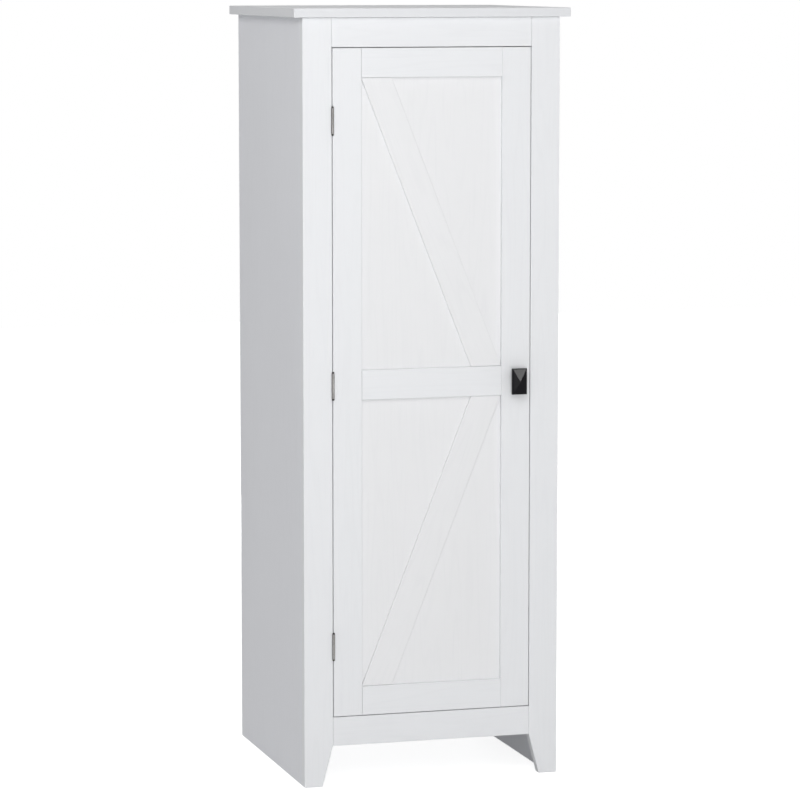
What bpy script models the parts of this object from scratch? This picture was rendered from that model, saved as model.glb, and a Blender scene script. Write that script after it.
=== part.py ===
"""Tall white storage cabinet with one framed door on three butt hinges.

Units are metres and +Z is up. The door faces -Y and hinges on its left, at -X.
The origin is on the floor, in the middle of the whole cabinet with its knob.
"""

import math

import bmesh
import bpy
from mathutils import Matrix, Vector

# Body
body_width = 0.466            # over the two side panels
body_depth = 0.461            # face of the front frame to the rear edges
body_height = 1.346           # floor to the underside of the top
panel_thickness = 0.016       # sides, bottom and shelves
fit = 0.0003                  # gap between two pieces that touch

# Top
top_thickness = 0.016
top_side_overhang = 0.017
top_front_overhang = 0.009
top_edge_round = 0.0012

# Front frame
frame_thickness = 0.018
stile_width = 0.052
foot_width = 0.033            # stile width at the floor
foot_height = 0.072           # floor to the underside of the bottom rail
top_rail_height = 0.051
bottom_rail_height = 0.051
frame_edge_round = 0.0006

# Door
door_gap = 0.0014             # all round, between door and front frame
door_thickness = 0.018
door_stile_width = 0.052
door_rail_height = 0.051      # top and bottom rails
door_middle_rail_height = 0.052
door_panel_thickness = 0.006
door_panel_recess = 0.008     # door face to panel face
door_groove_depth = 0.008
door_panel_play = 0.0005      # panel edge to the bottom of its groove
brace_width = 0.051           # square to its length
brace_thickness = 0.0042

# Shelves
middle_shelf_lift = 0.043     # middle of the door, and knob, to underside of the fixed shelf
middle_shelf_setback = 0.003  # behind the back of the front frame
lower_shelf_rise = 0.306      # top of the bottom panel to the shelf pins
upper_shelf_rise = 0.281      # top of the fixed shelf to the shelf pins
shelf_setback = 0.030
shelf_end_play = 0.002        # loose shelf to side panel
panel_edge_round = 0.0008      # all edges of sides, bottom, shelves and rear rail
shelf_pin_radius = 0.0025
shelf_pin_length = 0.008      # in the panel, and again under the shelf
shelf_pin_collar_radius = 0.0038
shelf_pin_collar = 0.0014
pin_hole_pitch = 0.050
front_row = 0.060             # front face to the front row of pins and cams
rear_row = 0.061              # rear edges of the sides to the rear row

# Back
back_thickness = 0.003
back_inset = 0.008            # rear edge of the sides to the back panels
back_groove_depth = 0.006
back_play = 0.001             # back panel edge to the bottom of its groove
joiner_wall = 0.001
joiner_lip = 0.009
rear_rail_height = 0.060

# Cam fittings
cam_radius = 0.0072
cam_depth = 0.0120
cam_setback = 0.034           # board end to the middle of the cam
cam_slot_length = 0.0090
cam_slot_width = 0.0018
cam_slot_depth = 0.0016

# Hinges
hinge_end_distance = 0.125    # door end to the middle of the outer hinges
hinge_length = 0.044
hinge_leaf_depth = 0.0150     # front face to the inner end of a leaf
hinge_pin_radius = 0.0011
hinge_knuckle_wall = 0.0010   # also the thickness of a leaf
hinge_knuckles = 5
hinge_stand_off = 0.0005      # knuckle to the front face
hinge_tip_radius = 0.0023     # ball at each end of a pin
hinge_tip_height = 0.0031
hinge_tip_steps = 4           # facets from the top of a ball to its foot
hinge_screw_spacing = 0.026
hinge_screw_inset = 0.0080    # front face to the screws
screw_head_radius = 0.0026
screw_head = 0.0015
screw_radius = 0.0012
screw_length = 0.0130
screw_proud = 0.0002          # head in front of the leaf

# Knob
knob_width = 0.027
knob_height = 0.046
knob_plate = 0.005
knob_rim = 0.0014
knob_rim_rise = 0.0006
knob_peak = 0.0046            # rise of the pyramid above its rim
knob_stem_radius = 0.0065
knob_stem_length = 0.018
knob_screw_radius = 0.0020
knob_screw_head_radius = 0.0040
knob_screw_crown_radius = 0.0028
knob_screw_head = 0.0024
knob_screw_head_edge = 0.0011    # straight part of the head's height
knob_screw_grip = 0.010       # length in the stem

# Magnetic catch
catch_width = 0.045
catch_body_width = 0.028
catch_body_height = 0.012
catch_depth = 0.015
catch_ear = 0.003
magnet_width = 0.020
magnet_thickness = 0.0040
magnet_length = 0.010
pole_thickness = 0.0012
pole_reach = 0.0011           # pole plates in front of the housing
strike_width = 0.038
strike_height = 0.013
strike_thickness = 0.0010

# Planes and levels that follow from the sizes
knob_reach = fit + knob_stem_length + knob_plate + knob_rim_rise + knob_peak
front = (knob_reach - body_depth) / 2
back = front + body_depth
frame_back = front + frame_thickness
half_body = body_width / 2
inner_side = half_body - panel_thickness
stile_inner = half_body - stile_width
floor_top = foot_height + bottom_rail_height
floor_bottom = floor_top - panel_thickness
door_half = stile_inner - door_gap
door_bottom = floor_top + door_gap
door_top = body_height - top_rail_height - door_gap
door_middle = (door_bottom + door_top) / 2
door_back = front + door_thickness
panel_half = door_half - door_stile_width
middle_shelf_bottom = door_middle + middle_shelf_lift
middle_shelf_top = middle_shelf_bottom + panel_thickness
middle_shelf_front = frame_back + middle_shelf_setback
back_panel_rear = back - back_inset
back_panel_front = back_panel_rear - back_thickness
hinge_knuckle_radius = hinge_pin_radius + fit + hinge_knuckle_wall
hinge_x = -stile_inner + door_gap / 2
hinge_leaf_offset = door_gap / 2    # near faces of the leaves lie flush with the edges of the boards
hinge_y = front - hinge_knuckle_radius - hinge_stand_off
overrun = 0.002               # how far a cutter runs past the face it opens


def clear_scene():
    for item in list(bpy.data.objects):
        bpy.data.objects.remove(item, do_unlink=True)


def new_collection(name):
    made = bpy.data.collections.new(name)
    bpy.context.scene.collection.children.link(made)
    return made


clear_scene()
cabinet = new_collection("storage_cabinet")
cutters = new_collection("cutters")
cutters.hide_render = True

door_axis = bpy.data.objects.new("door_axis", None)
door_axis.location = (hinge_x, hinge_y, door_middle)
door_axis.empty_display_size = 0.05
cabinet.objects.link(door_axis)


def new_material(name, color, roughness, metallic=0.0):
    made = bpy.data.materials.new(name)
    made.use_nodes = True
    shader = made.node_tree.nodes["Principled BSDF"]
    shader.inputs["Base Color"].default_value = (*color, 1.0)
    shader.inputs["Roughness"].default_value = roughness
    shader.inputs["Metallic"].default_value = metallic
    return made


white_foil = new_material("white_foil", (0.83, 0.83, 0.84), 0.45)
white_backing = new_material("white_backing", (0.78, 0.78, 0.78), 0.60)
white_plastic = new_material("white_plastic", (0.80, 0.80, 0.80), 0.40)
zinc = new_material("zinc", (0.62, 0.62, 0.63), 0.35, 1.0)
hinge_steel = new_material("hinge_steel", (0.42, 0.41, 0.40), 0.32, 1.0)
black_metal = new_material("black_metal", (0.012, 0.012, 0.014), 0.38, 0.6)
magnet_black = new_material("magnet_black", (0.03, 0.03, 0.03), 0.55)


def link(item, material, parent, cutter):
    """Put an object in its collection, under its parent, with its material."""
    if cutter:
        cutters.objects.link(item)
        item.hide_render = True
        item.display_type = "WIRE"
    else:
        cabinet.objects.link(item)
    if material is not None:
        item.data.materials.append(material)
    if parent is not None:
        item.parent = parent
        item.matrix_parent_inverse = Matrix.Translation(-parent.location)
    return item


def add_bevel(item, width, segments=1):
    made = item.modifiers.new("edge", "BEVEL")
    made.width = width
    made.segments = segments
    made.limit_method = "ANGLE"
    made.angle_limit = math.radians(40)


def boxes(name, spans, material=None, parent=None, cutter=False):
    """One object of plain boxes, each given by its low and high corner."""
    low = Vector(min(span[0][axis] for span in spans) for axis in range(3))
    high = Vector(max(span[1][axis] for span in spans) for axis in range(3))
    middle = (low + high) / 2
    mesh = bpy.data.meshes.new(name)
    shape = bmesh.new()
    for first, last in spans:
        first = Vector(first)
        last = Vector(last)
        place = Matrix.Translation((first + last) / 2 - middle)
        size = Matrix.Diagonal((*(last - first), 1.0))
        bmesh.ops.create_cube(shape, size=1.0, matrix=place @ size)
    shape.to_mesh(mesh)
    shape.free()
    item = bpy.data.objects.new(name, mesh)
    item.location = middle
    return link(item, material, parent, cutter)


def board(name, low, high, material, edge, parent=None, segments=1):
    item = boxes(name, [(low, high)], material, parent)
    add_bevel(item, edge, segments)
    return item


def evaluated_mesh(item):
    """The mesh of an object with its modifiers, and the object removed."""
    bpy.context.view_layer.update()
    graph = bpy.context.evaluated_depsgraph_get()
    mesh = bpy.data.meshes.new_from_object(item.evaluated_get(graph))
    bpy.data.objects.remove(item, do_unlink=True)
    return mesh


def outline_board(name, points, y_front, thickness, material, edge, parent=None):
    """A flat board in the XZ plane from the corners of its outline."""
    curve = bpy.data.curves.new(name + "_outline", "CURVE")
    curve.dimensions = "2D"
    curve.fill_mode = "BOTH"
    curve.extrude = thickness / 2
    spline = curve.splines.new("POLY")
    spline.points.add(len(points) - 1)
    for corner, (x, z) in zip(spline.points, points):
        corner.co = (x, z, 0.0, 1.0)
    spline.use_cyclic_u = True
    guide = bpy.data.objects.new(name + "_outline", curve)
    cutters.objects.link(guide)
    mesh = evaluated_mesh(guide)
    shape = bmesh.new()
    shape.from_mesh(mesh)
    bmesh.ops.remove_doubles(shape, verts=shape.verts, dist=0.00001)
    bmesh.ops.dissolve_limit(shape, angle_limit=math.radians(1), verts=shape.verts, edges=shape.edges)
    bmesh.ops.recalc_face_normals(shape, faces=shape.faces)
    shape.to_mesh(mesh)
    shape.free()
    item = bpy.data.objects.new(name, mesh)
    item.location = (0.0, y_front + thickness / 2, 0.0)
    item.rotation_euler = (math.radians(90), 0.0, 0.0)
    link(item, material, parent, False)
    add_bevel(item, edge)
    return item


def turned_mesh(profile, sides):
    """A turned shape about Z; the profile of (radius, height) runs from top to bottom."""
    mesh = bpy.data.meshes.new("profile")
    mesh.from_pydata([(radius, 0.0, height) for radius, height in profile],
                     [(step, step + 1) for step in range(len(profile) - 1)], [])
    item = bpy.data.objects.new("profile", mesh)
    cutters.objects.link(item)
    turn = item.modifiers.new("turn", "SCREW")
    turn.axis = "Z"
    turn.angle = math.tau
    turn.steps = sides
    turn.render_steps = sides
    turn.use_merge_vertices = True
    turn.merge_threshold = 0.00005
    turn.use_smooth_shade = True
    return evaluated_mesh(item)


def grown(profile, gap):
    """The same profile with a gap all round, for the hole that a turned piece sits in."""
    shift = [0.0] * len(profile)
    for step in range(len(profile) - 1):
        radius, height = profile[step]
        next_radius, next_height = profile[step + 1]
        if height == next_height:
            way = gap if next_radius > radius else -gap
            shift[step] = way
            shift[step + 1] = way
    return [(radius + gap if radius > 0 else 0.0, height + rise)
            for (radius, height), rise in zip(profile, shift)]


def seat(point, drive):
    """Where a turned piece goes: its top at the point, its length along the drive direction."""
    up = -Vector(drive)
    across = up.orthogonal().normalized()
    turn = Matrix((across, up.cross(across), up)).transposed().to_4x4()
    return Matrix.Translation(point) @ turn


def turned(name, mesh, place, material, parent=None):
    """One turned piece at its seat; equal pieces share their mesh."""
    if not mesh.materials:
        mesh.materials.append(material)
        mesh.shade_smooth()
        mesh.set_sharp_from_angle(angle=math.radians(35))
    item = bpy.data.objects.new(name, mesh)
    item.location = place.translation
    item.rotation_euler = place.to_euler()
    return link(item, None, parent, False)


def turned_cutter(name, profile, sides, seats, parent=None):
    """A cutter of equal turned shapes, one at each seat."""
    mesh = turned_mesh(profile, sides)
    shape = bmesh.new()
    for place in seats:
        first = len(shape.verts)
        shape.from_mesh(mesh)
        shape.verts.ensure_lookup_table()
        bmesh.ops.transform(shape, matrix=place, verts=shape.verts[first:])
    shape.to_mesh(mesh)
    shape.free()
    return link(bpy.data.objects.new(name, mesh), None, parent, True)


def boolean(item, other, operation="DIFFERENCE"):
    made = item.modifiers.new(operation.lower(), "BOOLEAN")
    made.operation = operation
    made.solver = "EXACT"
    made.object = other


def rod_profile(radius, length, above=0.0):
    """A plain rod from above zero down to its length."""
    return [(0.0, above), (radius, above), (radius, -length), (0.0, -length)]


def screw_profile():
    """A countersunk wood screw with a blunt point, its head a little proud."""
    return [(0.0, screw_proud), (screw_head_radius, screw_proud), (screw_head_radius, 0.0),
            (screw_radius, -screw_head), (screw_radius, -screw_length), (0.0, -screw_length)]


# Carcass boards

board(
    "top_panel",
    (-half_body - top_side_overhang, front - top_front_overhang, body_height),
    (half_body + top_side_overhang, back, body_height + top_thickness),
    white_foil, top_edge_round, segments=2)


def side_panel(name, way):
    """A side panel, way -1 left and 1 right, with its groove for the back panels."""
    near, far = sorted((way * inner_side, way * half_body))
    item = board(name, (near, frame_back + fit, 0.0), (far, back, body_height - fit),
                 white_foil, panel_edge_round)
    groove_in, groove_out = sorted((way * (inner_side - overrun), way * (inner_side + back_groove_depth)))
    groove = boxes(name + "_groove",
                   [((groove_in, back_panel_front - fit, -overrun),
                     (groove_out, back_panel_rear + fit, body_height + overrun))], cutter=True)
    boolean(item, groove)
    return item


left_side_panel = side_panel("left_side_panel", -1)
right_side_panel = side_panel("right_side_panel", 1)

bottom_panel = board(
    "bottom_panel",
    (-inner_side + fit, frame_back + fit, floor_bottom),
    (inner_side - fit, back_panel_front - fit, floor_top),
    white_foil, panel_edge_round)

joiner_front = back_panel_front - fit - joiner_wall
middle_shelf = board(
    "middle_shelf",
    (-inner_side + fit, middle_shelf_front, middle_shelf_bottom),
    (inner_side - fit, joiner_front - fit, middle_shelf_top),
    white_foil, panel_edge_round)

board(
    "rear_top_rail",
    (-inner_side + fit, back_panel_front - fit - panel_thickness, body_height - rear_rail_height),
    (inner_side - fit, back_panel_front - fit, body_height - fit),
    white_foil, panel_edge_round)

# Back panels and the strip between them

joint_level = (middle_shelf_bottom + middle_shelf_top) / 2
half_web = joiner_wall / 2 + fit


def back_panel(name, low, high):
    half = inner_side + back_groove_depth - back_play
    boxes(name, [((-half, back_panel_front, low), (half, back_panel_rear, high))], white_backing)


back_panel("lower_back_panel", floor_bottom, joint_level - half_web)
back_panel("upper_back_panel", joint_level + half_web, body_height - fit)

back_joiner = boxes(
    "back_joiner",
    [((-inner_side + fit, joiner_front, joint_level - joiner_lip),
      (inner_side - fit, back_panel_rear + fit + joiner_wall, joint_level + joiner_lip))],
    white_plastic)
boolean(back_joiner, boxes(
    "back_joiner_slots",
    [((-half_body, back_panel_front - fit, joint_level - joiner_lip - overrun),
      (half_body, back_panel_rear + fit, joint_level - joiner_wall / 2)),
     ((-half_body, back_panel_front - fit, joint_level + joiner_wall / 2),
      (half_body, back_panel_rear + fit, joint_level + joiner_lip + overrun))], cutter=True))

# Front frame


def frame_stile(name, way):
    """A front stile, way -1 left and 1 right, whose inner edge tapers below the bottom rail."""
    points = [(way * half_body, 0.0),
              (way * (half_body - foot_width), 0.0),
              (way * stile_inner, foot_height),
              (way * stile_inner, body_height - fit),
              (way * half_body, body_height - fit)]
    return outline_board(name, points, front, frame_thickness, white_foil, frame_edge_round)


def frame_rail(name, low, high):
    board(name, (-stile_inner + fit, front, low), (stile_inner - fit, frame_back, high),
          white_foil, frame_edge_round)


left_stile = frame_stile("left_stile", -1)
frame_stile("right_stile", 1)
frame_rail("front_top_rail", body_height - top_rail_height, body_height - fit)
frame_rail("front_bottom_rail", foot_height, floor_top)

# Loose shelves on pins


def loose_shelf(name, level):
    """A shelf that rests on the pins whose middles are at the level."""
    low = level + shelf_pin_radius + fit
    board(name,
          (-inner_side + shelf_end_play, frame_back + shelf_setback, low),
          (inner_side - shelf_end_play, joiner_front - fit, low + panel_thickness),
          white_foil, panel_edge_round)


lower_pins = floor_top + lower_shelf_rise
upper_pins = middle_shelf_top + upper_shelf_rise
loose_shelf("lower_shelf", lower_pins)
loose_shelf("upper_shelf", upper_pins)

pin_profile = [(0.0, shelf_pin_collar + shelf_pin_length),
               (shelf_pin_radius, shelf_pin_collar + shelf_pin_length),
               (shelf_pin_radius, shelf_pin_collar),
               (shelf_pin_collar_radius, shelf_pin_collar),
               (shelf_pin_collar_radius, 0.0),
               (shelf_pin_radius, 0.0),
               (shelf_pin_radius, -shelf_pin_length),
               (0.0, -shelf_pin_length)]
pin_hole_profile = rod_profile(shelf_pin_radius + fit, shelf_pin_length + fit, overrun)
pin_mesh = turned_mesh(pin_profile, 12)

rows = {"front": front + front_row, "rear": back - rear_row}
ways = {"left": -1, "right": 1}
pin_hole_seats = []
for shelf, level in (("lower", lower_pins), ("upper", upper_pins)):
    for row, y in rows.items():
        for side, way in ways.items():
            place = seat((way * (inner_side - fit), y, level), (way, 0, 0))
            turned(f"{shelf}_shelf_pin_{row}_{side}", pin_mesh, place, zinc)
            pin_hole_seats += [seat((way * inner_side, y, level + step * pin_hole_pitch), (way, 0, 0))
                               for step in (-1, 0, 1)]
pin_holes = turned_cutter("pin_holes", pin_hole_profile, 12, pin_hole_seats)
boolean(left_side_panel, pin_holes)
boolean(right_side_panel, pin_holes)

# Cam fittings that draw the boards together


def cam_mesh():
    """A cam disc with its face at zero and a cross slot for the driver."""
    disc = bpy.data.objects.new("cam", turned_mesh(rod_profile(cam_radius, cam_depth), 20))
    cutters.objects.link(disc)
    slots = []
    for along, across in ((cam_slot_length, cam_slot_width), (cam_slot_width, cam_slot_length)):
        span = ((-along / 2, -across / 2, -cam_slot_depth), (along / 2, across / 2, overrun))
        slots.append(boxes("cam_slot", [span], cutter=True))
    for slot in slots:
        boolean(disc, slot)
    mesh = evaluated_mesh(disc)
    for slot in slots:
        bpy.data.objects.remove(slot, do_unlink=True)
    return mesh


cam_disc = cam_mesh()
cam_seats = []
for row, y in rows.items():
    for side, way in ways.items():
        cam_x = way * (inner_side - cam_setback)
        joints = {"bottom": seat((cam_x, y, floor_bottom), (0, 0, 1)),
                  "middle": seat((cam_x, y, middle_shelf_bottom), (0, 0, 1)),
                  "top": seat((way * inner_side, y, body_height - cam_setback), (way, 0, 0))}
        for joint, place in joints.items():
            turned(f"{joint}_cam_{row}_{side}", cam_disc, place, zinc)
            cam_seats.append(place)
cam_hole_profile = rod_profile(cam_radius + fit, cam_depth + fit, overrun)
cam_holes = turned_cutter("cam_holes", cam_hole_profile, 20, cam_seats)
for item in (bottom_panel, middle_shelf, left_side_panel, right_side_panel):
    boolean(item, cam_holes)

# Door frame: rails with stub tenons in the grooves of the stiles

groove_front = front + door_panel_recess - fit
groove_back = front + door_panel_recess + door_panel_thickness + fit
tenon = door_groove_depth - door_panel_play
middle_rail_low = door_middle - door_middle_rail_height / 2
middle_rail_high = door_middle + door_middle_rail_height / 2
bottom_rail_high = door_bottom + door_rail_height
top_rail_low = door_top - door_rail_height


def door_stile(name, way):
    near, far = sorted((way * panel_half, way * door_half))
    item = board(name, (near, front, door_bottom), (far, door_back, door_top),
                 white_foil, frame_edge_round, door_axis)
    groove_in, groove_out = sorted((way * (panel_half - overrun), way * (panel_half + door_groove_depth)))
    boolean(item, boxes(name + "_groove",
                        [((groove_in, groove_front, door_bottom - overrun),
                          (groove_out, groove_back, door_top + overrun))], None, door_axis, True))
    return item


def door_rail(name, low, high, groove_below, groove_above):
    shoulder = panel_half - fit
    reach = panel_half + tenon
    item = board(name, (-reach, front, low), (reach, door_back, high),
                 white_foil, frame_edge_round, door_axis)
    cheeks = []
    for way in (-1, 1):
        near, far = sorted((way * shoulder, way * (reach + overrun)))
        cheeks.append(((near, front - overrun, low - overrun), (far, groove_front + fit, high + overrun)))
        cheeks.append(((near, groove_back - fit, low - overrun), (far, door_back + overrun, high + overrun)))
    boolean(item, boxes(name + "_cheeks", cheeks, None, door_axis, True))
    levels = []
    if groove_below:
        levels.append((low - overrun, low + door_groove_depth))
    if groove_above:
        levels.append((high - door_groove_depth, high + overrun))
    grooves = [((-half_body, groove_front, bottom), (half_body, groove_back, top)) for bottom, top in levels]
    boolean(item, boxes(name + "_grooves", grooves, None, door_axis, True))
    return item


door_hinge_stile = door_stile("door_hinge_stile", -1)
door_knob_stile = door_stile("door_knob_stile", 1)
door_rail("door_top_rail", top_rail_low, door_top, groove_below=True, groove_above=False)
door_rail("door_middle_rail", middle_rail_low, middle_rail_high, groove_below=True, groove_above=True)
door_rail("door_bottom_rail", door_bottom, bottom_rail_high, groove_below=False, groove_above=True)


def door_panel(name, low, high):
    reach = panel_half + tenon
    panel_front = front + door_panel_recess
    span = ((-reach, panel_front, low - tenon), (reach, panel_front + door_panel_thickness, high + tenon))
    boxes(name, [span], white_foil, door_axis)


door_panel("door_upper_panel", middle_rail_high, top_rail_low)
door_panel("door_lower_panel", bottom_rail_high, middle_rail_low)


def slanted_width(opening, height):
    """Length of a brace's level end, when the brace fills an opening from corner to corner.

    It solves end = width * sqrt(1 + ((opening - end) / height) ** 2) for the end.
    """
    lead = height ** 2 - brace_width ** 2
    middle = opening * brace_width ** 2
    rest = brace_width ** 2 * (height ** 2 + opening ** 2)
    return (math.sqrt(middle ** 2 + lead * rest) - middle) / lead


def door_brace(name, low, high, top_way):
    """A board across a door panel; top_way -1 starts it at the top left, 1 at the top right."""
    reach = panel_half - fit
    end = slanted_width(2 * reach, high - low)
    points = [(top_way * reach, high - fit),
              (top_way * (reach - end), high - fit),
              (-top_way * reach, low + fit),
              (-top_way * (reach - end), low + fit)]
    y_front = front + door_panel_recess - fit - brace_thickness
    outline_board(name, points, y_front, brace_thickness, white_foil, frame_edge_round, door_axis)


door_brace("door_upper_brace", middle_rail_high, top_rail_low, -1)
door_brace("door_lower_brace", bottom_rail_high, middle_rail_low, 1)

# Hinges

hinge_levels = {"upper": door_top - hinge_end_distance,
                "middle": door_middle,
                "lower": door_bottom + hinge_end_distance}
knuckle_pitch = hinge_length / hinge_knuckles


def hinge_leaf(name, level, way, parent):
    """One leaf with its two screws; way -1 lies in the front stile and has the end knuckles."""
    bottom = level - hinge_length / 2
    top = level + hinge_length / 2
    near, far = sorted((way * hinge_leaf_offset, way * (hinge_leaf_offset + hinge_knuckle_wall)))
    leaf = boxes(name, [((hinge_x + near, hinge_y + hinge_pin_radius, bottom),
                         (hinge_x + far, front + hinge_leaf_depth, top))], hinge_steel, parent)
    axis_top = seat((hinge_x, hinge_y, top), (0, 0, -1))
    barrel = rod_profile(hinge_knuckle_radius, hinge_length)
    boolean(leaf, turned_cutter(name + "_barrel", barrel, 16, [axis_top], parent), "UNION")
    clear = hinge_knuckle_radius + fit
    gaps = []
    for place in range(1 if way < 0 else 0, hinge_knuckles, 2):
        start = bottom + place * knuckle_pitch - (fit / 2 if place > 0 else overrun)
        end = bottom + (place + 1) * knuckle_pitch + (fit / 2 if place < hinge_knuckles - 1 else overrun)
        gaps.append(((hinge_x - clear, hinge_y - clear, start), (hinge_x + clear, hinge_y + clear, end)))
    boolean(leaf, boxes(name + "_gaps", gaps, None, parent, True))
    bore = rod_profile(hinge_pin_radius + fit, hinge_length + overrun, overrun)
    boolean(leaf, turned_cutter(name + "_bore", bore, 16, [axis_top], parent))
    screws = turned_cutter(name + "_screws", screw_profile(), 12, screw_seats(level, way), parent)
    boolean(leaf, screws, "UNION")


def screw_seats(level, way):
    """Seats of a leaf's two screws, driven into the wood."""
    x = hinge_x + way * hinge_leaf_offset
    y = front + hinge_screw_inset
    half = hinge_screw_spacing / 2
    return [seat((x, y, z), (way, 0, 0)) for z in (level - half, level + half)]


def hinge_pin_profile():
    """A pin with a ball tip at each end, clear of the end knuckles."""
    middle = hinge_tip_height - hinge_tip_radius
    quarter = math.pi / 2
    swing = quarter + math.asin(middle / hinge_tip_radius)
    turns = [quarter - swing * step / hinge_tip_steps for step in range(hinge_tip_steps + 1)]
    tip = [(hinge_tip_radius * math.cos(turn), middle + hinge_tip_radius * math.sin(turn)) for turn in turns]
    tip.append((hinge_pin_radius, 0.0))
    half = hinge_length / 2 + fit
    return ([(radius, half + height) for radius, height in tip]
            + [(radius, -half - height) for radius, height in reversed(tip)])


def cut_hinge_seats(item, way, parent):
    """Mortises for the leaves and pilot holes for their screws, in the edge of the stile or of the door."""
    near, far = sorted((way * -overrun, way * (hinge_leaf_offset + hinge_knuckle_wall + fit)))
    spans = [((hinge_x + near, front - overrun, level - hinge_length / 2 - fit),
              (hinge_x + far, front + hinge_leaf_depth + fit, level + hinge_length / 2 + fit))
             for level in hinge_levels.values()]
    boolean(item, boxes(item.name + "_mortises", spans, None, parent, True))
    seats = [place for level in hinge_levels.values() for place in screw_seats(level, way)]
    boolean(item, turned_cutter(item.name + "_pilots", grown(screw_profile(), fit), 12, seats, parent))


pin_with_tips = turned_mesh(hinge_pin_profile(), 12)
for place, level in hinge_levels.items():
    hinge_leaf(place + "_hinge_frame_leaf", level, -1, None)
    hinge_leaf(place + "_hinge_door_leaf", level, 1, door_axis)
    turned(place + "_hinge_pin", pin_with_tips, Matrix.Translation((hinge_x, hinge_y, level)), hinge_steel)
cut_hinge_seats(left_stile, -1, None)
cut_hinge_seats(door_hinge_stile, 1, door_axis)

# Knob: a rectangular plate with a shallow pyramid, on a round stem

knob_x = panel_half + door_stile_width / 2


def knob_head():
    """The plate and its pyramid, facing -Y, with the back of the plate at zero."""
    shape = bmesh.new()
    size = Matrix.Diagonal((knob_width, knob_plate, knob_height, 1.0))
    bmesh.ops.create_cube(shape, size=1.0, matrix=Matrix.Translation((0.0, -knob_plate / 2, 0.0)) @ size)
    face = min(shape.faces, key=lambda item: item.calc_center_median().y)
    bmesh.ops.inset_region(shape, faces=[face], thickness=knob_rim, depth=knob_rim_rise, use_even_offset=True)
    apex = bmesh.ops.poke(shape, faces=[face], offset=0.0)["verts"][0]
    apex.co.y -= knob_peak
    mesh = bpy.data.meshes.new("knob")
    shape.to_mesh(mesh)
    shape.free()
    return mesh


knob = bpy.data.objects.new("knob", knob_head())
knob.location = (knob_x, front - fit - knob_stem_length, door_middle)
link(knob, black_metal, door_axis, False)
stem_seat = seat((knob_x, front - fit, door_middle), (0, -1, 0))
stem_profile = rod_profile(knob_stem_radius, knob_stem_length + knob_plate / 2)
boolean(knob, turned_cutter("knob_stem", stem_profile, 24, [stem_seat], door_axis), "UNION")

knob_screw_length = door_thickness + 2 * fit + knob_screw_grip
knob_screw_profile = [(0.0, knob_screw_head),
                      (knob_screw_crown_radius, knob_screw_head),
                      (knob_screw_head_radius, knob_screw_head_edge),
                      (knob_screw_head_radius, 0.0),
                      (knob_screw_radius, 0.0),
                      (knob_screw_radius, -knob_screw_length),
                      (0.0, -knob_screw_length)]
knob_screw_seat = seat((knob_x, door_back + fit, door_middle), (0, -1, 0))
turned("knob_screw", turned_mesh(knob_screw_profile, 16), knob_screw_seat, zinc, door_axis)
knob_bore_profile = rod_profile(knob_screw_radius + fit, knob_screw_length + fit, overrun)
knob_bore = turned_cutter("knob_bore", knob_bore_profile, 16, [knob_screw_seat], door_axis)
boolean(door_knob_stile, knob_bore)
boolean(knob, knob_bore)

# Magnetic catch under the fixed shelf, and its strike plate on the door

catch_top = middle_shelf_bottom - fit
catch_back = middle_shelf_front + catch_depth
catch_middle = catch_top - catch_body_height / 2
pack_half = magnet_thickness / 2 + pole_thickness
magnet_left = knob_x - magnet_width / 2
magnet_right = knob_x + magnet_width / 2
magnet_back = middle_shelf_front + magnet_length
pole_front = middle_shelf_front - pole_reach

catch_housing = boxes(
    "catch_housing",
    [((knob_x - catch_body_width / 2, middle_shelf_front, catch_top - catch_body_height),
      (knob_x + catch_body_width / 2, catch_back, catch_top))], white_plastic)
boolean(catch_housing, boxes(
    "catch_ears",
    [((knob_x - catch_width / 2, middle_shelf_front + fit, catch_top - catch_ear),
      (knob_x + catch_width / 2, catch_back - fit, catch_top - fit / 2))], cutter=True), "UNION")
boolean(catch_housing, boxes(
    "catch_pocket",
    [((magnet_left - fit, middle_shelf_front - overrun, catch_middle - pack_half - fit),
      (magnet_right + fit, magnet_back + fit, catch_middle + pack_half + fit))], cutter=True))

# The magnet lies between two pole plates that reach out to the strike plate
catch_magnet = boxes(
    "catch_magnet",
    [((magnet_left, pole_front, catch_middle - pack_half),
      (magnet_right, magnet_back, catch_middle + pack_half))], magnet_black)
boolean(catch_magnet, boxes(
    "catch_magnet_front",
    [((magnet_left - overrun, pole_front - overrun, catch_middle - magnet_thickness / 2),
      (magnet_right + overrun, middle_shelf_front, catch_middle + magnet_thickness / 2))], cutter=True))

board(
    "strike_plate",
    (knob_x - strike_width / 2, door_back + fit, catch_middle - strike_height / 2),
    (knob_x + strike_width / 2, door_back + fit + strike_thickness, catch_middle + strike_height / 2),
    zinc, fit, door_axis)
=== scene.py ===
import math

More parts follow.
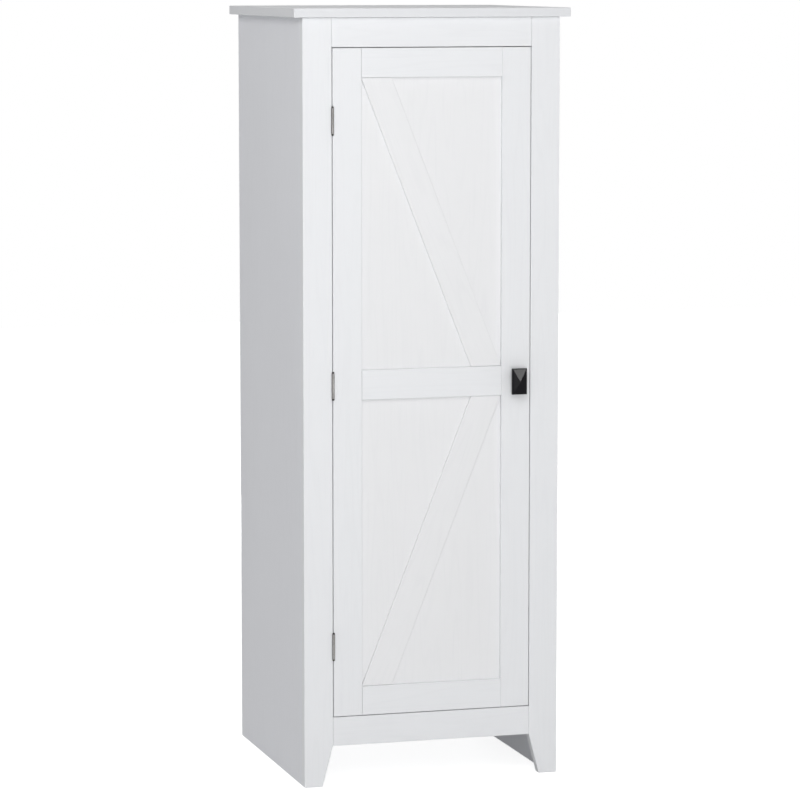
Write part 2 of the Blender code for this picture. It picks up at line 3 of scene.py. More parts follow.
import bmesh
import bpy
import numpy as np
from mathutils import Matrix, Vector


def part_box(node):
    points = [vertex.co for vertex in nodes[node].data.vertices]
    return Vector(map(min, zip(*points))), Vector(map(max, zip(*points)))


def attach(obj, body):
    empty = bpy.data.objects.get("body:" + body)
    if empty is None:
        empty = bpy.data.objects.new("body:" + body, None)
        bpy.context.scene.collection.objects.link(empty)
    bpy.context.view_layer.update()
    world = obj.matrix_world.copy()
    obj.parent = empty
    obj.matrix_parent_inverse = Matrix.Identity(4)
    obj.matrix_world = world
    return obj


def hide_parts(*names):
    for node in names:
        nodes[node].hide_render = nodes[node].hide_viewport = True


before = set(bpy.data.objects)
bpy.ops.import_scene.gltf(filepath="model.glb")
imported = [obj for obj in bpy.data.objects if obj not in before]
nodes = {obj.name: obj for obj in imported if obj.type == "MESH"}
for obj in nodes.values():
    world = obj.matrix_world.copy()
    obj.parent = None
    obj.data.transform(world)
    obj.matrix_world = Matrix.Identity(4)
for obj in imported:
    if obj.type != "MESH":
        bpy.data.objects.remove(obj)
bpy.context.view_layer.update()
print("frame loaded:", len(nodes), "nodes")

xWay, yWay, zWay = (1, 0, 0), (0, 1, 0), (0, 0, 1)


# Shader helpers


class Num:
    # one value in a shader; arithmetic on it adds Math nodes
    def __init__(self, shading, socket):
        self.shading = shading
        self.socket = socket

    def math(self, kind, *others):
        made = self.shading.node("Math", dict(operation=kind), dict(enumerate((self, *others))))
        return Num(self.shading, made.outputs[0])

    def __add__(self, other):
        return self.math("ADD", other)

    def __sub__(self, other):
        return self.math("SUBTRACT", other)

    def __rsub__(self, other):
        return (self * -1.0).math("ADD", other)

    def __mul__(self, other):
        return self.math("MULTIPLY", other)

    def __truediv__(self, other):
        return self.math("DIVIDE", other)

    __radd__ = __add__
    __rmul__ = __mul__

    def size(self):
        return self.math("ABSOLUTE")

    def wave(self):
        return self.math("SINE")

    def least(self, other):
        return self.math("MINIMUM", other)

    def most(self, other):
        return self.math("MAXIMUM", other)

    def rise(self, start, end):
        # 0 at start, 1 at end, with soft ends; start may be the larger one
        made = self.shading.node("MapRange", dict(interpolation_type="SMOOTHSTEP"),
                                 {"Value": self, "From Min": start, "From Max": end})
        return Num(self.shading, made.outputs[0])


class Shading:
    # a node tree, to which nodes are added by their type, settings and inputs
    def __init__(self, tree):
        self.tree = tree

    def node(self, kind, settings=None, inputs=None):
        made = self.tree.nodes.new("ShaderNode" + kind)
        for key, value in (settings or {}).items():
            setattr(made, key, value)
        for key, value in (inputs or {}).items():
            self.feed(made.inputs[key], value)
        return made

    def feed(self, socket, value):
        if isinstance(value, Num):
            value = value.socket
        if isinstance(value, bpy.types.NodeSocket):
            self.tree.links.new(value, socket)
        elif socket.type == "RGBA":
            socket.default_value = (*value, 1.0)
        else:
            socket.default_value = value

    def backdropRays(self):
        # 1 for the rays that show the backdrop: from the camera, reflected, or through glass
        rays = self.node("LightPath").outputs
        seen = Num(self, rays["Is Camera Ray"]).most(Num(self, rays["Is Glossy Ray"]))
        return seen.most(Num(self, rays["Is Transmission Ray"]))


class Paint(Shading):
    # one material, and the places on the piece that it reads
    def __init__(self, name):
        self.material = bpy.data.materials.new(name)
        self.material.use_nodes = True
        super().__init__(self.material.node_tree)
        self.shader = self.tree.nodes["Principled BSDF"]
        self.place = self.node("TexCoord").outputs["Object"]

    def along(self, direction):
        # how far a point lies along a direction, in metres
        made = self.node("VectorMath", dict(operation="DOT_PRODUCT"), {0: self.place, 1: direction})
        return Num(self, made.outputs["Value"])

    def axes(self):
        return [self.along(way) for way in (xWay, yWay, zWay)]

    def noise(self, x, y, z, detail=2.0, rough=0.5):
        place = self.node("CombineXYZ", None, {"X": x, "Y": y, "Z": z}).outputs[0]
        made = self.node("TexNoise", None,
                         {"Vector": place, "Scale": 1.0, "Detail": detail, "Roughness": rough})
        return Num(self, made.outputs[0])

    def mix(self, amount, first, second):
        made = self.node("Mix", dict(data_type="RGBA"), {0: amount, 6: first, 7: second})
        return made.outputs[2]

    def edgeDistance(self, low, high):
        # distance to the nearest edge of a box: on its surface the least distance to a face is zero,
        # so the distance to an edge is the middle one of the three
        a, b, c = ((axis - near).least(far - axis) for axis, near, far in zip(self.axes(), low, high))
        return a.least(b).most(a.most(b).least(c))

    def bump(self, height):
        # height in metres
        made = self.node("Bump", None, {"Strength": 1.0, "Distance": 1.0, "Height": height})
        self.feed(self.shader.inputs["Normal"], made.outputs[0])

    def finish(self, **values):
        # sockets of the shader by name, spaces left out
        names = {socket.name.replace(" ", ""): socket for socket in self.shader.inputs}
        for key, value in values.items():
            self.feed(names[key], value)
        return self.material


# Boards: solid ones in white foil, thin backs of fibreboard


foil = dict(
    white=(0.822, 0.832, 0.850),
    sideWhite=(0.817, 0.827, 0.860),  # side panels, bluer: painted shade colour
    panelWhite=(0.826, 0.829, 0.840), # panels and braces of the door
    bandWhite=(0.752, 0.762, 0.782),  # edge band of the top, darker: painted shade on its edge faces
    groove=(0.700, 0.708, 0.730),     # colour at the bottom of an embossed line
    core=(0.56, 0.50, 0.42),          # board that shows where the foil is rubbed through
    lines=(0.0017, 0.060),            # embossed lines, in metres across and along the grain
    figure=(0.036, 0.55),             # slower figure, like growth rings
    clouds=(0.16, 0.30),
    rub=(0.012, 0.030),
    peel=(0.0011, 0.0011),            # orange peel of the lacquer
    shift=(0.53, 3.17),               # of the pattern from one board to the next
    rings=9.0,
    lineTone=0.10,                    # how much of the groove's colour each of them takes
    ringTone=0.07,
    cloudTone=0.12,
    jointTone=0.30,
    rubTone=0.22,                     # how much of the core's colour a rubbed edge takes
    rubFade=(0.0011, 0.0002),         # distance from an edge at which the rubbing sets in
    bandFade=(0.0004, 0.0010),        # depth below a face at which the band's painted shade sets in
    joint=0.0013,                     # edge of the board to the joint of its edge band
    jointFade=(0.00030, 0.00010),
    lineDepth=0.000010,
    peelDepth=0.0000025,
    roughness=0.56,
    gloss=0.32)


def foilPaint(name, low, high, turn, grain, across, taped, face, band=None):
    # white foil printed and embossed with a fine wood grain along one direction; on a taped board
    # a hairline shows where the edge band meets the face, and the band may take a darker white as painted
    # shade
    paint = Paint(name)
    grain = Vector(grain).normalized()
    across = Vector(across).normalized()
    third = grain.cross(across)
    a = paint.along(across) + foil["shift"][0] * turn
    g = paint.along(grain) + foil["shift"][1] * turn
    t = paint.along(third)

    def pattern(size, detail):
        # noise drawn out along the grain
        return paint.noise(a / size[0], t / size[0], g / size[1], detail)

    lines = pattern(foil["lines"], 3.0).rise(0.52, 0.74)
    rings = (pattern(foil["figure"], 1.0) * (foil["rings"] * math.tau)).wave().rise(0.35, 1.0)
    clouds = pattern(foil["clouds"], 1.0)
    peel = pattern(foil["peel"], 1.0)
    edge = paint.edgeDistance(low, high)
    rubbed = edge.rise(*foil["rubFade"]) * pattern(foil["rub"], 3.0).rise(0.60, 0.70)
    depth = lines * foil["lineTone"] + rings * foil["ringTone"] + (clouds - 0.5) * foil["cloudTone"]
    if band:
        z = paint.along(zWay)
        # painted shade: the top's edge faces take the darker band white
        face = paint.mix((z - low.z).least(high.z - z).rise(*foil["bandFade"]), face, band)
    white = paint.mix(depth, face, foil["groove"])
    if taped:
        joint = (edge - foil["joint"]).size().rise(*foil["jointFade"])
        white = paint.mix(joint * foil["jointTone"], white, foil["groove"])
    paint.bump((lines + rings * 0.5) * -foil["lineDepth"] + peel * foil["peelDepth"])
    return paint.finish(
        BaseColor=paint.mix(rubbed * foil["rubTone"], white, foil["core"]),
        Roughness=foil["roughness"] + 0.06 * clouds + 0.06 * lines + 0.10 * rubbed,
        SpecularIORLevel=foil["gloss"])


backing = dict(
    white=(0.76, 0.76, 0.755),
    raw=(0.40, 0.285, 0.180),
    fibre=(0.27, 0.180, 0.105),
    pale=(0.52, 0.395, 0.265),
    fibreDepth=0.00003,
    smooth=0.48,                      # roughness of the white side
    rough=0.82)                       # and of the raw one


def backingPaint(name, rear):
    # thin fibreboard, white towards the shelves and raw behind
    paint = Paint(name)
    x, y, z = paint.axes()
    behind = y.rise(rear - 0.0005, rear - 0.0001)
    fibres = paint.noise(x / 0.0016, y / 0.0016, z / 0.0050, 4.0, 0.6).rise(0.40, 0.66)
    specks = paint.noise(x / 0.0042 + 9.0, y / 0.004, z / 0.0024, 2.0).rise(0.64, 0.72)
    clouds = paint.noise(x / 0.11, y / 0.11, z / 0.17, 2.0).rise(0.30, 0.75)
    raw = paint.mix(clouds * 0.5, backing["raw"], backing["pale"])
    raw = paint.mix(fibres * 0.55, raw, backing["fibre"])
    raw = paint.mix(specks * 0.45, raw, backing["fibre"])
    white = paint.mix(fibres * 0.06, backing["white"], backing["fibre"])
    paint.bump(fibres * backing["fibreDepth"] * behind)
    return paint.finish(
        BaseColor=paint.mix(behind, white, raw),
        Roughness=backing["smooth"] + (backing["rough"] - backing["smooth"]) * behind)


boards = {                            # grain, direction across it, edge-banded or not, its white
    "top_panel": (xWay, yWay, True, "white"),
    # the side panels take a bluer white, a painted shade colour
    "left_side_panel": (zWay, yWay, True, "sideWhite"),
    "right_side_panel": (zWay, yWay, True, "sideWhite"),
    "bottom_panel": (xWay, yWay, True, "white"),
    "middle_shelf": (xWay, yWay, True, "white"),
    "upper_shelf": (xWay, yWay, True, "white"),
    "lower_shelf": (xWay, yWay, True, "white"),
    "rear_top_rail": (xWay, zWay, True, "white"),
    "left_stile": (zWay, xWay, False, "white"),
    "right_stile": (zWay, xWay, False, "white"),
    "front_top_rail": (xWay, zWay, False, "white"),
    "front_bottom_rail": (xWay, zWay, False, "white"),
    "door_hinge_stile": (zWay, xWay, False, "white"),
    "door_knob_stile": (zWay, xWay, False, "white"),
    "door_top_rail": (xWay, zWay, False, "white"),
    "door_middle_rail": (xWay, zWay, False, "white"),
    "door_bottom_rail": (xWay, zWay, False, "white"),
    "door_upper_panel": (zWay, xWay, False, "panelWhite"),
    "door_lower_panel": (zWay, xWay, False, "panelWhite")}
braceEnd = 0.0545                     # level end of a brace
for name, lean in (("door_upper_brace", -1), ("door_lower_brace", 1)):
    low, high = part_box(name)
    run = (high.x - low.x - braceEnd) * lean
    rise = high.z - low.z
    boards[name] = ((run, 0, rise), (rise, 0, -run), False, "panelWhite")


def dress(name, material):
    nodes[name].material_slots[0].material = material


for turn, (name, (grain, across, taped, white)) in enumerate(boards.items()):
    # the top's edge faces get a darker white, painted shade
    band = foil["bandWhite"] if name == "top_panel" else None
    dress(name, foilPaint("foil_" + name, *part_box(name), turn, grain, across, taped, foil[white], band))

for name in ("upper_back_panel", "lower_back_panel"):
    dress(name, backingPaint("backing_" + name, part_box(name)[1].y))
print("boards dressed:", len(boards) + 2)


# Fittings that keep their shape


def metalPaint(name, color, dark, roughness, way, brush, wear):
    # plated steel, brushed along one direction, darker in scattered stains
    paint = Paint(name)
    spread = [brush * 14 if step else brush for step in way]
    x, y, z = (axis / width for axis, width in zip(paint.axes(), spread))
    brushed = paint.noise(x, y, z, 3.0)
    stains = paint.noise(x / 9.0, y / 9.0, z / 3.0, 2.0).rise(0.42, 0.72)
    paint.bump(brushed * 0.000012)
    return paint.finish(
        BaseColor=paint.mix(stains * wear + (brushed - 0.5) * 0.3, color, dark),
        Metallic=1.0,
        Roughness=roughness + 0.16 * brushed + 0.10 * stains)


zinc = dict(
    color=(0.50, 0.50, 0.515),
    dark=(0.33, 0.33, 0.345),
    roughness=0.30,
    way=yWay,
    brush=0.0008,                     # width of a brush mark
    wear=0.25)
nickel = dict(
    color=(0.240, 0.235, 0.230),
    dark=(0.100, 0.097, 0.094),
    roughness=0.34,
    way=zWay,
    brush=0.0006,
    wear=0.35)
tipNickel = dict(nickel, color=(0.060, 0.058, 0.056), dark=(0.025, 0.024, 0.023))
zincPaint = metalPaint("bright_zinc", **zinc)
nickelPaint = metalPaint("satin_nickel", **nickel)
tipPaint = metalPaint("dark_nickel", **tipNickel)

plastic = dict(
    color=(0.80, 0.80, 0.795),
    skin=0.0005,                      # grain of the skin
    skinDepth=0.000010,
    roughness=0.36)


def plasticPaint(name):
    # moulded plastic with a spark-eroded skin
    paint = Paint(name)
    x, y, z = paint.axes()
    skin = paint.noise(x / plastic["skin"], y / plastic["skin"], z / plastic["skin"], 2.0)
    flow = paint.noise(x / 0.014, y / 0.010, z / 0.008, 1.0)
    paint.bump(skin * plastic["skinDepth"])
    shade = [0.9 * part for part in plastic["color"]]
    return paint.finish(
        BaseColor=paint.mix(flow.rise(0.3, 0.8) * 0.10, plastic["color"], shade),
        Roughness=plastic["roughness"] + 0.14 * skin)


magnet = dict(
    half=0.0020,                      # half the thickness of the magnet between its pole plates
    dark=(0.02, 0.02, 0.022),
    grey=(0.05, 0.05, 0.052),
    pole=(0.55, 0.55, 0.56),
    grit=0.0004,
    gritDepth=0.00001)


def magnetPaint(name, middle):
    # black magnet between two steel pole plates
    paint = Paint(name)
    x, y, z = paint.axes()
    pole = (z - middle).size().rise(magnet["half"] - 0.0001, magnet["half"] + 0.0001)
    grit = paint.noise(x / magnet["grit"], y / magnet["grit"], z / magnet["grit"], 3.0)
    paint.bump(grit * magnet["gritDepth"])
    return paint.finish(
        BaseColor=paint.mix(pole, paint.mix(grit, magnet["dark"], magnet["grey"]), magnet["pole"]),
        Metallic=pole,
        Roughness=0.62 - 0.30 * pole + 0.10 * grit)


for name in nodes:
    if "_cam_" in name or "shelf_pin" in name or name == "strike_plate":
        dress(name, zincPaint)
    if "hinge_" in name and "stile" not in name or name == "knob_screw":
        dress(name, nickelPaint)
plasticWhite = plasticPaint("white_plastic_skin")
for name in ("catch_housing", "back_joiner"):
    dress(name, plasticWhite)
low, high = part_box("catch_magnet")
dress("catch_magnet", magnetPaint("magnet_and_poles", (low.z + high.z) / 2))
print("fittings dressed")


# Mesh helpers


def gridFaces(rows, columns, wrapRows=False):
    # quads between the neighbours of a grid of points whose columns close on themselves
    down, right = np.meshgrid(np.arange(rows if wrapRows else rows - 1), np.arange(columns), indexing="ij")
    nextDown = (down + 1) % rows
    nextRight = (right + 1) % columns
    corners = [down * columns + right, nextDown * columns + right,
               nextDown * columns + nextRight, down * columns + nextRight]
    return np.stack(corners, -1).reshape(-1, 4)


def axisFrame(way):
    # an axis and two directions square to it
    way = Vector(way).normalized()
    side = way.orthogonal().normalized()
    return np.array(way), np.array(side), np.array(way.cross(side))


def turned(profile, foot, way, sides=40, ring=False):
    # a profile of (radius, height) carried round an axis:
    # point = foot + height * way + radius * (cos(angle) * side + sin(angle) * front)
    way, side, front = axisFrame(way)
    radius, height = np.array(profile, float).T[:, :, None, None]
    angle = np.linspace(0, math.tau, sides, endpoint=False)[None, :, None]
    points = np.array(foot) + height * way + radius * (np.cos(angle) * side + np.sin(angle) * front)
    return points.reshape(-1, 3), gridFaces(len(profile), sides, wrapRows=ring)


def lofted(rings, middle, width, height, depth, cornerSteps=4):
    # rounded rectangles of (half width, half height, corner, depth), one behind the other: the path of each
    # runs round its four corners, point = sign * (half - corner) + corner * (cos, sin) of the path's angle
    rings = np.array(rings, float)
    quarter = np.linspace(0, math.pi / 2, cornerSteps + 1)
    angle = np.concatenate([quarter + turn * math.pi / 2 for turn in range(4)])[None, :]
    signX = np.repeat([1, -1, -1, 1], cornerSteps + 1)[None, :]
    signY = np.repeat([1, 1, -1, -1], cornerSteps + 1)[None, :]
    halfX, halfY, corner, deep = (rings[:, column, None] for column in range(4))
    alongX = signX * (halfX - corner) + corner * np.cos(angle)
    alongY = signY * (halfY - corner) + corner * np.sin(angle)
    points = (np.array(middle) + alongX[..., None] * np.array(width) + alongY[..., None] * np.array(height)
              + (deep + 0 * alongX)[..., None] * np.array(depth))
    return points.reshape(-1, 3), gridFaces(len(rings), angle.shape[1])


def plateRings(halfX, halfY, corner, thick, edge, steps=3):
    # rings of a flat plate with rounded corners, from its back face at 0 to its front face at thick;
    # a quarter circle rounds each edge: inset = edge * (1 - sin(bend)), depth = edge * (1 - cos(bend))
    bend = np.linspace(0, math.pi / 2, steps + 1)
    inset = np.concatenate([edge * (1 - np.sin(bend)), edge * (1 - np.cos(bend))])
    deep = np.concatenate([edge * (1 - np.cos(bend)), thick - edge * (1 - np.sin(bend))])
    body = [(halfX - i, halfY - i, max(corner - i, 0.0), d) for i, d in zip(inset, deep)]
    return [(0, 0, 0, 0), *body, (0, 0, 0, thick)]


def crossHead(foot, way, radius, rim, dome, recess, slot, arm=0.60, slope=0.35, sides=48, steps=14):
    # a screw head with a cross recess: on polar points (r, angle) its
    # height = rim + dome * (1 - (r / radius)^2), less recess inside a cross of arms,
    # whose half width is slot and which reach out to arm * radius
    r = radius * np.linspace(0, 1, steps + 1)[:, None]
    angle = np.linspace(0, math.tau, sides, endpoint=False)[None, :]
    x = np.abs(r * np.cos(angle))
    y = np.abs(r * np.sin(angle))
    outside = np.maximum(np.minimum(x, y) - slot, np.maximum(x, y) - arm * radius)
    inside = np.clip(0.5 - outside / (slope * slot), 0, 1)
    height = rim + dome * (1 - (r / radius) ** 2) - recess * inside
    radii = np.concatenate([0 * r + r, np.full((1, 1), radius), np.zeros((1, 1))]) + 0 * angle
    heights = np.concatenate([height, np.zeros((2, sides))])
    way, side, front = axisFrame(way)
    points = (np.array(foot) + heights[..., None] * way + (radii * np.cos(angle))[..., None] * side
              + (radii * np.sin(angle))[..., None] * front)
    return points.reshape(-1, 3), gridFaces(steps + 3, sides)


def makePiece(name, shells, material, body, sharp=35):
    # joins shells of (points, faces) into one piece that rides on a body
    count = 0
    points = []
    faces = []
    for shellPoints, shellFaces in shells:
        points.append(shellPoints)
        faces.append(shellFaces + count)
        count += len(shellPoints)
    mesh = bpy.data.meshes.new(name)
    mesh.from_pydata(np.concatenate(points), [], np.concatenate(faces).tolist())
    shape = bmesh.new()
    shape.from_mesh(mesh)
    bmesh.ops.remove_doubles(shape, verts=shape.verts, dist=0.000002)
    bmesh.ops.dissolve_degenerate(shape, edges=shape.edges, dist=0.000001)
    bmesh.ops.recalc_face_normals(shape, faces=shape.faces)
    shape.to_mesh(mesh)
    shape.free()
    mesh.shade_smooth()
    mesh.set_sharp_from_angle(angle=math.radians(sharp))
    mesh.materials.append(material)
    piece = bpy.data.objects.new(name, mesh)
    bpy.context.scene.collection.objects.link(piece)
    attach(piece, body)
    return piece


# Hinges: leaves with knuckles and the heads of their screws, pins with ball tips


hinge = dict(
    count=5,                          # knuckles
    bore=0.00125,
    radius=0.0024,
    pin=0.0011,
    gap=0.0003,                       # between knuckles
    leafNear=0.0007,                  # axis to the near face of a leaf
    leafThick=0.0010,
    corner=0.0022,
    edge=0.00018,
    webInto=0.0002,                   # how far the web behind a knuckle reaches into its wall
    webOver=0.0014,                   # and over the flat part
    webCorner=0.0003,
    tip=0.0023,
    tipHeight=0.0031,
    screwSpacing=0.026,
    screwInset=0.0080,                # front face of the frame to the screws
    screwSunk=0.0001,
    screwHead=dict(radius=0.0026, rim=0.00010, dome=0.00022, recess=0.00030, slot=0.00042))

low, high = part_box("middle_hinge_pin")
hingeX = (low.x + high.x) / 2
hingeY = (low.y + high.y) / 2
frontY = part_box("left_stile")[0].y


def knuckle(low, high):
    # a ring whose outline is a rectangle of radius and height, each outer corner a quarter circle:
    # radius = outer - edge * (1 - cos(bend)), height = end - edge * (1 - sin(bend))
    bend = np.linspace(0, math.pi / 2, 4)
    edge = hinge["edge"]
    outer = [(hinge["radius"] - edge * (1 - math.cos(b)), high - edge * (1 - math.sin(b))) for b in bend]
    lower = [(hinge["radius"] - edge * (1 - math.sin(b)), low + edge * (1 - math.cos(b))) for b in bend]
    profile = outer[::-1] + lower[::-1] + [(hinge["bore"], low), (hinge["bore"], high)]
    return turned(profile, (hingeX, hingeY, 0), zWay, 32, ring=True)


def makeLeaf(name, way, body):
    # a rounded plate let into the wood, and every second knuckle of the barrel with a web behind it
    low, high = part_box(name)
    pitch = (high.z - low.z) / hinge["count"]
    near = hingeX + way * hinge["leafNear"]
    clear = hingeY + hinge["radius"] + hinge["gap"]
    webNear = hingeY + hinge["bore"] - hinge["webInto"]
    webFar = clear + hinge["webOver"]
    halfY = (high.y - clear) / 2
    halfZ = (high.z - low.z) / 2
    rings = plateRings(halfY, halfZ, hinge["corner"], hinge["leafThick"], hinge["edge"])
    shells = [lofted(rings, (near, clear + halfY, low.z + halfZ), yWay, zWay, (way, 0, 0))]
    for place in range(0 if way < 0 else 1, hinge["count"], 2):
        bottom = low.z + place * pitch + (hinge["gap"] / 2 if place > 0 else 0)
        top = low.z + (place + 1) * pitch - (hinge["gap"] / 2 if place < hinge["count"] - 1 else 0)
        shells.append(knuckle(bottom, top))
        middle = (near, (webNear + webFar) / 2, (bottom + top) / 2)
        rings = plateRings((webFar - webNear) / 2, (top - bottom) / 2,
                           hinge["webCorner"], hinge["leafThick"], hinge["edge"])
        shells.append(lofted(rings, middle, yWay, zWay, (way, 0, 0)))
    for step in (-0.5, 0.5):
        foot = (near + way * hinge["screwSunk"], frontY + hinge["screwInset"],
                low.z + halfZ + step * hinge["screwSpacing"])
        shells.append(crossHead(foot, (-way, 0, 0), **hinge["screwHead"]))
    piece = makePiece(name + "_fine", shells, nickelPaint, body)
    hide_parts(name)


def makePin(name):
    # a rod turned with an arc of a ball at each end:
    # radius = ball * cos(bend), height = foot + middle + ball * sin(bend), and the same mirrored
    low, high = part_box(name)
    ball = hinge["tip"]
    foot = high.z - hinge["tipHeight"]
    middle = hinge["tipHeight"] - ball
    bend = np.linspace(math.pi / 2, -math.asin(middle / ball), 12)
    tip = [(ball * math.cos(b), foot + middle + ball * math.sin(b)) for b in bend] + [(hinge["pin"], foot)]
    mirrored = [(radius, low.z + high.z - height) for radius, height in reversed(tip)]
    piece = makePiece(name + "_fine", [turned(tip + mirrored, (hingeX, hingeY, 0), zWay, 32)],
                      tipPaint, "cabinet")
    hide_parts(name)


for place in ("upper", "middle", "lower"):
    makeLeaf(place + "_hinge_frame_leaf", -1, "cabinet")
    makeLeaf(place + "_hinge_door_leaf", 1, "door")
    makePin(place + "_hinge_pin")
print("hinges made")


# Knob: rectangular plate with a pyramid, on a round neck


knob = dict(
    black=(0.0050, 0.0046, 0.0066),
    worn=(0.030, 0.029, 0.028),
    roughness=0.12,
    gloss=0.08,
    ridge=0.050,                      # width of a rubbed ridge, in parts of the pyramid
    rub=0.006,
    peel=0.0009,
    peelDepth=0.000004,
    standOff=0.018,                   # door to the back of the plate
    plate=0.005,
    backEdge=0.0005,                  # rounds of the plate's edges
    frontEdge=0.0002,
    rim=0.0014,
    rimRise=0.0006,
    corner=0.0005,
    tipShare=0.02,                    # of the pyramid is left at its blunt tip
    tipDrop=0.0001,
    neck=0.0062,
    flare=0.0016,                     # how far the neck widens into the plate
    sunk=0.0002,
    foot=0.0065,
    footEdge=0.0004,
    footHeight=0.0016,
    footSlope=0.0006)


def knobPaint(name, middle, half):
    # satin black plating; ridges of the pyramid are a little rubbed
    paint = Paint(name)
    x, y, z = paint.axes()
    across = (x - middle.x).size() / half.x
    up = (z - middle.z).size() / half.z
    ridge = (across - up).size().rise(knob["ridge"], 0.0) * y.rise(middle.y, middle.y - 0.001)
    peel = paint.noise(x / knob["peel"], y / knob["peel"], z / knob["peel"], 2.0)
    rub = ridge * paint.noise(x / knob["rub"], y / knob["rub"], z / knob["rub"], 3.0).rise(0.42, 0.66)
    paint.bump(peel * knob["peelDepth"])
    return paint.finish(
        BaseColor=paint.mix(rub * 0.5 + peel * 0.04, knob["black"], knob["worn"]),
        Roughness=knob["roughness"] + 0.02 * peel + 0.04 * rub,
        SpecularIORLevel=knob["gloss"])


def makeKnob():
    # rings of (half width, half height, corner, depth) lofted from the plate's back to the apex,
    # and a turned neck
    low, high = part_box("knob")
    middle = (low + high) / 2
    half = (high - low) / 2
    plateBack = high.y - knob["standOff"]
    apex = plateBack - low.y
    plate, rim, corner = (knob[key] for key in ("plate", "rim", "corner"))
    back, front = knob["backEdge"], knob["frontEdge"]
    rings = [(0, 0, 0, 0)]
    for inset, deep in ((back, 0), (0.3 * back, 0.3 * back), (0, back),
                        (0, plate - front), (0.3 * front, plate - 0.3 * front), (front, plate)):
        rings.append((half.x - inset, half.z - inset, corner, deep))
    # the rim slopes up to the foot of the pyramid
    for share in np.linspace(0.2, 1.0, 4):
        inset = front + (rim - front) * share
        rings.append((half.x - inset, half.z - inset, corner * (1 - share), plate + knob["rimRise"] * share))
    # and the pyramid shrinks to its apex, a little blunt
    w, h = half.x - rim, half.z - rim
    rimFront = plate + knob["rimRise"]
    for share in np.linspace(0.1, 0.95, 12):
        rings.append((w * (1 - share), h * (1 - share), 0, rimFront + (apex - rimFront) * share))
    rings.append((w * knob["tipShare"], h * knob["tipShare"], 0, apex - knob["tipDrop"]))
    rings.append((0, 0, 0, apex - 0.8 * knob["tipDrop"]))
    head = lofted(rings, (middle.x, plateBack, middle.z), xWay, zWay, (0, -1, 0))
    # the neck: a foot with a slope, a straight part, and a quarter circle that flares into the plate
    foot, neck, flare = (knob[key] for key in ("foot", "neck", "flare"))
    profile = [(0, 0), (foot - knob["footEdge"], 0), (foot, knob["footEdge"]), (foot, knob["footHeight"]),
               (neck, knob["footHeight"] + knob["footSlope"])]
    for b in np.linspace(0, math.pi / 2, 8):
        profile.append((neck + flare * (1 - math.cos(b)), knob["standOff"] - flare * (1 - math.sin(b))))
    profile.append((0, knob["standOff"] + knob["sunk"]))
    stem = turned(profile, (middle.x, high.y, middle.z), (0, -1, 0), 48)
    black = knobPaint("knob_black", Vector((middle.x, plateBack - plate, middle.z)), Vector((w, 0, h)))
    piece = makePiece("pyramid_knob", [head, stem], black, "door", sharp=8)
    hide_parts("knob")
    dress("knob", black)


knobScrew = dict(
    head=dict(rim=0.0012, dome=0.0012, recess=0.0011, slot=0.00060, sides=64, steps=18),
    shank=0.0020)


def makeKnobScrew():
    # a domed head on a plain turned shank
    low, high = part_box("knob_screw")
    head, radius = knobScrew["head"], knobScrew["shank"]
    foot = ((low.x + high.x) / 2, high.y - head["rim"] - head["dome"], (low.z + high.z) / 2)
    length = foot[1] - low.y
    shells = [crossHead(foot, yWay, (high.x - low.x) / 2, **head),
              turned([(0, 0), (radius, 0), (radius, length), (0, length)], foot, (0, -1, 0), 24)]
    piece = makePiece("knob_screw_fine", shells, zincPaint, "door")
    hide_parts("knob_screw")


makeKnob()
makeKnobScrew()
print("knob made")


# Small fasteners


nail = dict(
    radius=0.0020,
    height=0.0004,
    edge=0.0002,                      # height of its rim, and how deep it is sunk
    flat=0.8,                         # share of the radius that is flat
    count=4,
    sideGap=0.045,
    bottomRise=0.008,
    topDrop=0.022)
catchScrew = dict(
    head=dict(radius=0.0028, rim=0.0006, dome=0.0009, recess=0.0008, slot=0.00045),
    inset=0.0042,                     # from each end of the housing
    depth=0.0031)
strikeScrew = dict(
    head=dict(radius=0.0024, rim=0.00012, dome=0.0002, recess=0.0003, slot=0.00040),
    sunk=0.0001)


def makeNails():
    # a row of turned nail heads along the top and the bottom of the back
    edge, radius, height = (nail[key] for key in ("edge", "radius", "height"))
    profile = [(0, -edge), (radius, -edge), (radius, edge), (nail["flat"] * radius, height), (0, height)]
    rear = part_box("lower_back_panel")[1]
    reach = rear.x - nail["sideGap"]
    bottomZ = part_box("bottom_panel")[0].z + nail["bottomRise"]
    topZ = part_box("upper_back_panel")[1].z - nail["topDrop"]
    shells = []
    for z in (bottomZ, topZ):
        for x in np.linspace(-reach, reach, nail["count"]):
            shells.append(turned(profile, (x, rear.y, z), yWay, 20))
    makePiece("back_nails", shells, nickelPaint, "cabinet")


def makeCatchScrews():
    # a cross head at each end of the housing, under the shelf
    low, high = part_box("catch_housing")
    shells = []
    for x in (low.x + catchScrew["inset"], high.x - catchScrew["inset"]):
        foot = (x, (low.y + high.y) / 2, high.z - catchScrew["depth"])
        shells.append(crossHead(foot, (0, 0, -1), **catchScrew["head"]))
    makePiece("catch_screws", shells, zincPaint, "cabinet")


def makeStrikeScrew():
    # a cross head in the middle of the plate
    low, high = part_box("strike_plate")
    foot = ((low.x + high.x) / 2, high.y - strikeScrew["sunk"], (low.z + high.z) / 2)
    shell = crossHead(foot, yWay, **strikeScrew["head"])
    makePiece("strike_screw", [shell], nickelPaint, "door")


makeNails()
makeCatchScrews()
makeStrikeScrew()
print("fasteners made")


# Stage, lights and camera


stage = dict(
    size=16.0,
    drop=0.0004,                      # floor below the feet
    floorWhite=0.74,
    lift=0.77,                        # floor's own light towards the camera, by the object
    farLift=0.97,                     # and away from it, where the lamps fade
    near=1.1,
    far=3.2,
    ambient=0.32)


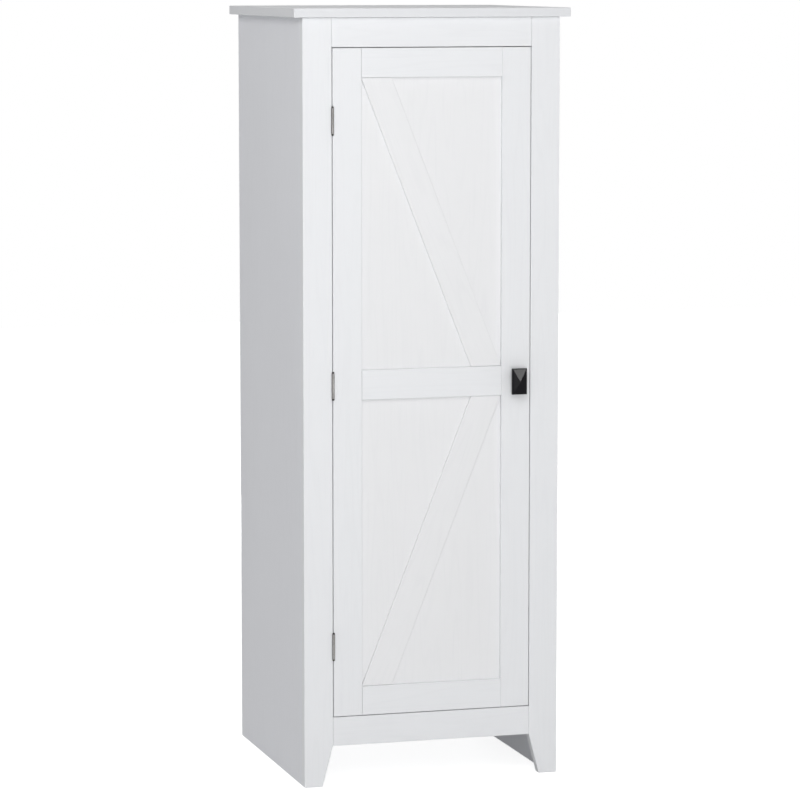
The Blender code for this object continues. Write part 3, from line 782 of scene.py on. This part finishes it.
def makeFloor():
    # a white square with a glow that only the rays of the backdrop see
    paint = Paint("floor_white")
    paint.finish(BaseColor=(stage["floorWhite"],) * 3, Roughness=0.9, SpecularIORLevel=0.0)
    reach = paint.node("VectorMath", dict(operation="LENGTH"), {0: paint.place}).outputs["Value"]
    away = Num(paint, reach).rise(stage["near"], stage["far"]) * (stage["farLift"] - stage["lift"])
    lift = paint.backdropRays() * (away + stage["lift"])
    glow = paint.node("Emission", None, {"Color": (1, 1, 1), "Strength": lift})
    both = paint.node("AddShader", None, {0: paint.shader.outputs[0], 1: glow.outputs[0]})
    paint.feed(paint.tree.nodes["Material Output"].inputs["Surface"], both.outputs[0])
    mesh = bpy.data.meshes.new("floor")
    half = stage["size"] / 2
    corners = [(-half, -half, 0), (half, -half, 0), (half, half, 0), (-half, half, 0)]
    mesh.from_pydata(corners, [], [(0, 1, 2, 3)])
    mesh.materials.append(paint.material)
    floor = bpy.data.objects.new("floor", mesh)
    floor.location.z = -stage["drop"]
    bpy.context.scene.collection.objects.link(floor)


def makeWorld():
    # white where the backdrop shows, and a plain level as light on the object
    world = bpy.data.worlds.new("studio")
    bpy.context.scene.world = world
    world.use_nodes = True
    world.node_tree.nodes.clear()
    shading = Shading(world.node_tree)
    level = shading.backdropRays() * (1.0 - stage["ambient"]) + stage["ambient"]
    light = shading.node("Background", None, {"Color": (1, 1, 1), "Strength": level})
    shading.node("OutputWorld", None, {"Surface": light.outputs[0]})


lamps = {                             # place, what it points at, side in metres, watts
    "key": ((-0.70, -2.70, 1.95), (0.0, -0.2, 0.90), 1.6, 17.5),
    "near_high": ((-0.60, -1.60, 1.95), (0.0, -0.2, 1.15), 0.9, 5.2),
    "low_front": ((-0.65, -3.60, 0.62), (0.0, -0.2, 0.50), 1.1, 28.5),
    "left_high": ((-2.45, 0.10, 2.60), (-0.2, 0.0, 0.50), 1.2, 14.5),
    "knob_light": ((1.26, -3.49, 1.71), (0.15, -0.2, 0.70), 0.22, 5.4),
    "right_side": ((3.10, 0.60, 0.75), (0.2, 0.1, 0.70), 1.2, 34.0),
    "rear": ((0.60, 3.30, 0.70), (0.0, 0.2, 0.70), 1.2, 34.0)}


def makeLamp(name, place, target, size, power):
    # a square lamp turned towards its target
    lamp = bpy.data.lights.new(name, "AREA")
    lamp.shape = "SQUARE"
    lamp.size = size
    lamp.energy = power
    item = bpy.data.objects.new(name, lamp)
    item.location = place
    item.rotation_euler = (Vector(target) - Vector(place)).to_track_quat("-Z", "Y").to_euler()
    item.visible_camera = False
    bpy.context.scene.collection.objects.link(item)


view = dict(
    place=(-1.8181, -6.2430, 1.4300),
    turn=16.275,                      # degrees to the right of straight ahead
    down=6.806,
    lens=162.81,
    sensor=36.0)                      # millimetres, as the lens


def makeCamera():
    camera = bpy.data.cameras.new("camera")
    camera.lens = view["lens"]
    camera.sensor_width = view["sensor"]
    camera.clip_start = 0.1
    camera.clip_end = 60.0
    item = bpy.data.objects.new("camera", camera)
    item.location = view["place"]
    item.rotation_euler = (math.radians(90 - view["down"]), 0, -math.radians(view["turn"]))
    bpy.context.scene.collection.objects.link(item)
    bpy.context.scene.camera = item


makeFloor()
makeWorld()
for name, (place, target, size, power) in lamps.items():
    makeLamp(name, place, target, size, power)
makeCamera()
bpy.context.scene.view_settings.view_transform = "Standard"
print("stage and camera ready")
